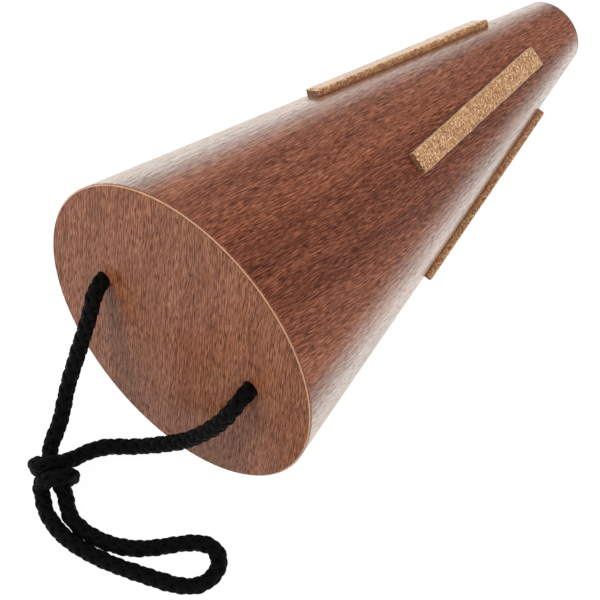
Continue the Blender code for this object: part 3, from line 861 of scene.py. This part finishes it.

# %% [markdown]
# ## Cork
#
# The strips and the bush are pressed cork: pale grains about 0.7 mm across, each of its own
# tone, with brown bark specks between them. A texture of cells gives the grains, a cell each.
# A strip's sawn sides show more bark than its sanded outer face and are browner, partly the
# cork's own colour and partly painted shade. Down towards the foot, where the strip meets the
# cone, a darker painted shade comes in, and the end faces carry that painted shade all over. An
# attribute on the mesh says how far a point lies down the side. The sanded face turns pale
# where it is seen flatly, by the same glaze as the veneer.

# %% Cork finish
CORK_TONES = [(0.0, srgb(70, 36, 16)), (0.35, srgb(152, 101, 60)),
              (0.65, srgb(200, 152, 105)), (1.0, srgb(255, 226, 184))]
SEAM_BROWN = srgb(150, 98, 60)
# the sawn sides' brown: partly the cork's own colour, partly painted shade
SIDE_BROWN_AND_SHADE = srgb(166, 88, 38)
BARK = srgb(116, 66, 36)
# painted shade at the foot of a strip's sides, where it meets the cone, and on its end faces
PAINTED_FOOT_SHADE = srgb(62, 28, 16)
CORK_SHEEN = {"Sheen_Weight": 1.0, "Sheen_Roughness": 0.30, "Sheen_Tint": (1.0, 0.88, 0.66, 1.0)}
CELLS_PER_MM = 1.45
WOBBLES_PER_MM = 0.9
WOBBLE_MM = 0.8
SPECKS_PER_MM = 1.9
CORK_RELIEF = 0.00022
CORK_ROUGHNESS = 0.88
# the values between which each mark of the cork sets in, and its share of the colour
SEAM_RANGE, SEAM_SHARE = (0.0, 0.14), 0.35
BARK_RANGE, BARK_SHARE = (0.56, 0.62), 0.85
SIDE_BARK_RANGE, SIDE_BARK_SHARE = (0.40, 0.60), 0.5
# the painted shade of the foot: where it sets in down the side, and its share
FOOT_SHADE_RANGE, FOOT_SHADE_SHARE = (0.70, 0.98), 0.65
DUST_RANGE, DUST_SHARE = (0.60, 0.85), 0.42
# share of the sides' brown, which is partly painted shade
SIDE_BROWN_AND_SHADE_SHARE = 0.50
OUTER_RANGE = (0.0, 0.3)
DUST_ROUGHNESS = 0.4


def cork(name, has_sides):
    """Pressed cork: cells with a tone each, dark seams, bark specks, and browner sides.

    The sides' brown is partly painted shade, and painted shade darkens their foot and the ends.
    """
    finish = Finish(name, **CORK_SHEEN)
    x, y, z = finish.place_mm()
    place = finish.vector(x, y, z)
    wobble = finish.noise(place, scale=WOBBLES_PER_MM) * WOBBLE_MM
    moved = finish.vector(x + wobble, y + wobble, z - wobble)
    cells = {"Vector": moved, "Scale": CELLS_PER_MM, "Randomness": 1.0}
    grain = finish.node("TexVoronoi", cells, {"feature": "F1"}, "Color")
    edge = finish.node("TexVoronoi", cells, {"feature": "DISTANCE_TO_EDGE"})
    colour = finish.ramp(CORK_TONES, finish.node("RGBToBW", {"Color": grain}))
    seams = 1.0 - finish.limit(edge, *SEAM_RANGE)
    colour = finish.mix(seams * SEAM_SHARE, colour, SEAM_BROWN)
    specks = finish.noise(place, 2.0, 0.7, SPECKS_PER_MM)
    bark = finish.limit(specks, *BARK_RANGE)
    if has_sides:
        side = finish.node("Attribute", None, {"attribute_name": "side"}, "Fac")
        more = side * finish.limit(specks, *SIDE_BARK_RANGE) * SIDE_BARK_SHARE
        bark = finish.math("MINIMUM", bark + more, 1.0)
        # the sides turn browner: partly the cork's own colour, partly painted shade
        colour = finish.mix(side * SIDE_BROWN_AND_SHADE_SHARE, colour, SIDE_BROWN_AND_SHADE)
    colour = finish.mix(bark * BARK_SHARE, colour, BARK)
    if has_sides:
        # painted shade: darker towards the foot of each side, and over the end faces
        colour = finish.mix(finish.limit(side, *FOOT_SHADE_RANGE) * FOOT_SHADE_SHARE, colour, PAINTED_FOOT_SHADE)
        outer = 1.0 - finish.limit(side, *OUTER_RANGE)
        dust = finish.limit(facing(finish), *DUST_RANGE) * outer * DUST_SHARE
        finish.glaze(dust, DUST_ROUGHNESS, GLAZE_TINT)
    finish.bump(edge * 0.5 + (1.0 - bark) * 0.5, CORK_RELIEF)
    return finish.set(Base_Color=colour, Roughness=CORK_ROUGHNESS)


strip_cork = cork("strip_pressed_cork", True)
finishes["tube_bush"] = cork("bush_pressed_cork", False)

for solid_name, material in finishes.items():
    for slot in solids[solid_name].material_slots:
        slot.material = material
print("finished solids:", ", ".join(finishes))

# %% [markdown]
# ## Cork strips
#
# A strip is a sawn bar 10 mm wide and about 3 mm thick, flat outside and hollowed under to sit
# on the cone. Its shape here is a closed outline carried along the cone's side. The outline has
# many points, so that a little noise can roughen it as sawn cork is, and the corners of the
# far ends are crumbled away, most of all on the strip that faces the camera.

# %% Sizes of the strips
STRIP_COUNT = 5
STRIP_WIDTH = 0.0104
STRIP_HEIGHTS = (0.0033, 0.0030, 0.0034, 0.0026, 0.0030)
STRIP_START = 0.1172
STRIP_LENGTH = 0.1203
# how far each strip's near and far end are moved along the cone
END_SHIFTS = ((0.0032, 0.0003), (0.0009, 0.0002), (-0.0041, -0.0006), (0.0, 0.0), (0.0, 0.0))
# how much of each strip's four corners has crumbled: near left, near right, far left, far right
CRUMBLED = ((0.0006, 0.0006, 0.0008, 0.0009), (0.0003, 0.0004, 0.0017, 0.0004),
            (0.0003, 0.0003, 0.0009, 0.0007), (0.0005, 0.0006, 0.0007, 0.0006),
            (0.0006, 0.0005, 0.0006, 0.0008))
# how much further along each strip its near end starts at one long edge than at the other,
# and the length over which that dies out
END_SLANTS = (-0.0026, 0.0, 0.0066, 0.0, 0.0)
SLANT_REACH = 0.020
# the outer edges are worn by this much, and the wear dies out over this distance
EDGE_WEAR = 0.0005
EDGE_WEAR_REACH = 0.00028
STRIP_STEP = 0.0005
END_STEPS = np.array([0.0, 0.00005, 0.0002])
CORK_SHARP_DEGREES = 55
print("thickest strip", max(STRIP_HEIGHTS) * MM_PER_M, "mm")

# %% Roughness of sawn cork
LATTICE = 32
# the size of the lumps, their depth, and the seed of the first strip
COARSE_GRIT = (0.0009, 0.00010, 11)
FINE_GRIT = (0.0004, 0.00006, 31)
SAW_WANDER = (0.0060, 0.00010, 51)
SIDE_GRIT = 1.3
END_GRIT = 1.5


def lattice_noise(points, size, seed):
    """Smooth noise from -1 to 1: random numbers on a lattice of that size, blended between.

    The blend along each axis is 3t^2 - 2t^3, and the lattice repeats after 32 steps.
    """
    table = np.random.default_rng(seed).uniform(-1.0, 1.0, (LATTICE, LATTICE, LATTICE))
    q = np.asarray(points) / size
    low = np.floor(q).astype(int)
    t = q - low
    t = t * t * (3 - 2 * t)
    total = 0.0
    for corner in np.ndindex(2, 2, 2):
        share = np.prod(np.where(np.array(corner) == 1, t, 1 - t), axis=-1)
        i, j, k = np.moveaxis((low + corner) % LATTICE, -1, 0)
        total = total + share * table[i, j, k]
    return total


def lumps(points, index, roughness):
    """The roughness of one strip: lattice noise times its depth."""
    size, depth, seed = roughness
    return lattice_noise(points, size, seed + index) * depth


print("cork lumps:", COARSE_GRIT[0], FINE_GRIT[0], SAW_WANDER[0])

# %% Outline of a strip
def strip_outline(half, across=34, down=7, under=10):
    """One ring of a strip: places across it (y) and heights (0 at the cone, 1 outside)."""
    fall = np.linspace(1, 0, down + 2)[1:-1]
    rise = np.linspace(0, 1, down + 2)[1:-1]
    top = np.stack([np.linspace(-half, half, across), np.ones(across)], axis=1)
    right_side = np.stack([np.full(down, half), fall], axis=1)
    bottom = np.stack([np.linspace(half, -half, under), np.zeros(under)], axis=1)
    left_side = np.stack([np.full(down, -half), rise], axis=1)
    return np.concatenate([top, right_side, bottom, left_side])


def corner_cut(loss, distance):
    """How far a rounded corner of the radius loss draws the side in at a distance from the end.

    It is loss - sqrt(loss^2 - (loss - distance)^2), and nought past the corner.
    """
    inside = np.clip(loss - np.clip(distance, 0.0, None), 0.0, None)
    return loss - np.sqrt(loss ** 2 - inside ** 2)


def crumble(y, distance, left_loss, right_loss):
    """Places across a strip, held between its sides less the cut of both corners."""
    left_edge = STRIP_WIDTH / 2 - corner_cut(left_loss, distance)
    right_edge = -STRIP_WIDTH / 2 + corner_cut(right_loss, distance)
    return np.where(y > 0, np.minimum(y, left_edge), np.maximum(y, right_edge))


def turned_about_axis(points, angle):
    """Points turned about X: (y, z) becomes (y cos a + z sin a, z cos a - y sin a)."""
    turned = points.copy()
    turned[..., 1] = points[..., 1] * math.cos(angle) + points[..., 2] * math.sin(angle)
    turned[..., 2] = points[..., 2] * math.cos(angle) - points[..., 1] * math.sin(angle)
    return turned


outline = strip_outline(STRIP_WIDTH / 2)
print("points round a strip:", len(outline))

# %% The strips
def strip_points(index):
    """Grids of a strip's points in the mute's frame, and of their heights from 0 to 1.

    A point at x, y across and height h lies at (x + h sin c, y, z), where c is the cone's half
    angle. Underneath, z = sqrt(r^2 - y^2) follows the cone; outside, z = r + h cos c is flat.
    """
    start = STRIP_START + END_SHIFTS[index][0]
    end = STRIP_START + STRIP_LENGTH + END_SHIFTS[index][1]
    between = np.arange(start + STRIP_STEP, end - STRIP_STEP, STRIP_STEP)
    stations = np.concatenate([start + END_STEPS, between, end - END_STEPS[::-1]])
    x = np.repeat(stations[:, None], len(outline), axis=1)
    y = np.repeat(outline[None, :, 0], len(stations), axis=0)
    h = np.repeat(outline[None, :, 1], len(stations), axis=0)
    slant_share = np.clip(1.0 - (x - start) / SLANT_REACH, 0.0, 1.0)
    x = x + END_SLANTS[index] * (0.5 - y / STRIP_WIDTH) * slant_share
    near_left, near_right, far_left, far_right = CRUMBLED[index]
    y = crumble(y, x - start, near_left, near_right)
    y = crumble(y, end - x, far_left, far_right)
    outer = h > 0.5
    to_end = np.clip(np.minimum(x - start, end - x), 0.0, None)
    to_side = np.where(outer, STRIP_WIDTH / 2 - np.abs(y), 1.0)
    wear = EDGE_WEAR * np.exp(-np.minimum(to_end, to_side) / EDGE_WEAR_REACH)
    height = h * STRIP_HEIGHTS[index] - wear * outer
    radius = cone_radius(x)
    seat = np.sqrt(radius ** 2 - y ** 2)
    above = seat + (radius - seat) * h + height * math.cos(HALF_ANGLE)
    z = np.where(h < 0.01, seat, above)
    local = np.stack([x + height * math.sin(HALF_ANGLE), y, z], axis=-1)
    grit = lumps(local, index, COARSE_GRIT) + lumps(local, index, FINE_GRIT)
    wander = lumps(local, index, SAW_WANDER)
    on_side = np.abs(outline[None, :, 0]) > STRIP_WIDTH / 2 - 1e-6
    local[..., 2] += np.where(outer, grit, 0.0)
    local[..., 1] += np.where(on_side, (grit * SIDE_GRIT + wander) * np.sign(y), 0.0)
    local[0, :, 0] += grit[0] * END_GRIT
    local[-1, :, 0] += grit[-1] * END_GRIT
    return local, h


def cork_strip(index):
    """One cork strip, turned to its place round the cone; the fourth lies lowest."""
    local, h = strip_points(index)
    rows, columns = h.shape
    turn_by = 2 * math.pi * (0.5 - index) / STRIP_COUNT
    points = to_world(turned_about_axis(local, turn_by).reshape(-1, 3))
    faces = ring_faces(rows, columns)[:, ::-1]
    caps = [list(range(columns)), list(range((rows - 1) * columns, rows * columns))[::-1]]
    piece = new_piece("cork_bar_%d" % (index + 1), points, faces, strip_cork, caps,
                      sharp_degrees=CORK_SHARP_DEGREES)
    # how far down the side a point lies, which sets the painted shade of the foot; the end faces
    # count as all side, so the painted shade covers them
    side = 1.0 - h
    side[[0, -1]] = 1.0
    mark = piece.data.attributes.new("side", "FLOAT", "POINT")
    mark.data.foreach_set("value", side.ravel().astype(np.float32))
    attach(piece, "mute_body")
    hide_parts("cork_strip_%d" % (index + 1))
    return piece


strips = [cork_strip(k) for k in range(STRIP_COUNT)]
print("cork bars:", len(strips), "with", len(strips[0].data.polygons), "faces each")

# %% [markdown]
# ## Glue lines
#
# The solids keep a gap of 0.2 or 0.3 mm between them, and a gap that thin reads as a black line.
# On the real mute the parts are glued, so thin rings of the neighbour's wood close the gaps.

# %% Glue lines
SIDE_START = 0.0017
SIDE_END = 0.2830
FACE_DEPTH = (0.00006, 0.0007)
FACE_VENEER_RADIUS = 0.0717
FACE_SEAT_RADIUS = 0.0719
RIM_INNER = 0.0722
MOUTH_INNER = 0.0175
# a ring spans its gap, laps a little over its ends and lies just below the wood outside
GLUE_GAP = 0.00035
GLUE_LAP = 0.00005
FACE_LAP = 0.00003
GLUE_SUNK = 0.00004


def glue_line(name, x0, x1, inner, outer, slant, slot, material):
    """A thin ring between x0 and x1; slant says by how much the radii fall over that way."""
    drop = slant * (x1 - x0)
    profile = [(x0, inner), (x0, outer), (x1, outer - drop), (x1, inner - drop)]
    ring = turned_ring(name, profile, material)
    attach(ring, "mute_body")
    return ring


rim_outer = float(cone_radius(SIDE_START - GLUE_GAP)) - GLUE_SUNK
mouth_outer = float(cone_radius(SIDE_END)) - GLUE_SUNK
glue_lines = [
    glue_line("rim_glue_line", SIDE_START - GLUE_GAP, SIDE_START + GLUE_LAP,
              RIM_INNER, rim_outer, SLOPE, "side_veneer", side_wood),
    glue_line("face_glue_line", *FACE_DEPTH, FACE_VENEER_RADIUS - FACE_LAP,
              FACE_SEAT_RADIUS + FACE_LAP, 0.0, "face_veneer", face_wood),
    glue_line("mouth_glue_line", SIDE_END - GLUE_LAP, SIDE_END + GLUE_GAP,
              MOUTH_INNER, mouth_outer, SLOPE, "ring_wood", finishes["mouth_ring"]),
]
print("glue lines:", len(glue_lines))

# %% [markdown]
# ## Floor
#
# The photograph stands on plain white. The floor is a matt white sheet that takes the lamps'
# light and the mute's shadow. To the camera and in gloss, which Light Path tells apart, most of
# it and of the world is a plain white glow, so it stays white without more light on the wood.

# %% Floor
FLOOR_HALF = 3.0
FLOOR_WHITE = (0.95, 0.95, 0.95, 1.0)
# the glow covers this share of the sheet, and is a little over 1 to make up for the rest
GLOW_SHARE = 0.90
GLOW_STRENGTH = 1.06


def seen_directly(nodes):
    """One for camera, glossy and transmission rays, else nought."""
    path = nodes.node("LightPath")
    by_camera, by_gloss, by_glass = path.siblings(
        "Is Camera Ray", "Is Glossy Ray", "Is Transmission Ray")
    return nodes.math("MAXIMUM", nodes.math("MAXIMUM", by_camera, by_gloss), by_glass)


def floor_finish():
    """Matt white, with the glow laid over it."""
    finish = Finish("floor_white", Base_Color=FLOOR_WHITE, Roughness=1.0, Specular_IOR_Level=0.0)
    glow = finish.node("Emission", {"Strength": GLOW_STRENGTH})
    finish.lay_over(seen_directly(finish) * GLOW_SHARE, glow)
    return finish.material


corners = np.array([(-1, -1, 0), (1, -1, 0), (1, 1, 0), (-1, 1, 0)]) * FLOOR_HALF
floor = new_piece("floor", corners, [[0, 1, 2, 3]], floor_finish())
print("floor", 2 * FLOOR_HALF, "m wide")

# %% [markdown]
# ## Light
#
# The studio is a white room with three round lamps: one to the left, one behind and a low one
# on the right. They are large, for soft shadows, and the gloss mirrors the room alone.

# %% World and lamps
WORLD_STRENGTH = 0.54
WHITE = (1.0, 1.0, 1.0, 1.0)
LAMP_TARGET = Vector((-0.02, 0.0, 0.05))
# each lamp: its name, its place, its width in metres and its power in watts
LAMPS = (("left", (-0.85, 0.65, 0.95), 0.8, 10.5), ("back", (0.85, 0.55, 0.95), 0.9, 9.5),
         ("right", (0.15, -1.10, 0.42), 0.9, 6.5))

world = bpy.data.worlds.new("studio")
bpy.context.scene.world = world
world.use_nodes = True
sky = Nodes(world.node_tree)
background = world.node_tree.nodes["Background"]
sky.feed(background.inputs["Color"], WHITE)
sky.feed(background.inputs["Strength"], sky.node("MapRange", {
    "Value": seen_directly(sky), "To Min": WORLD_STRENGTH, "To Max": 1.0}))

for name, place, size, power in LAMPS:
    light = bpy.data.lights.new(name, "AREA")
    light.shape = "DISK"
    light.size = size
    light.energy = power
    lamp = bpy.data.objects.new(name, light)
    lamp.location = place
    lamp.rotation_euler = (LAMP_TARGET - Vector(place)).to_track_quat("-Z", "Y").to_euler()
    lamp.visible_glossy = False
    bpy.context.scene.collection.objects.link(lamp)
bpy.context.scene.view_settings.view_transform = "Standard"
print("lamps:", [row[0] for row in LAMPS])
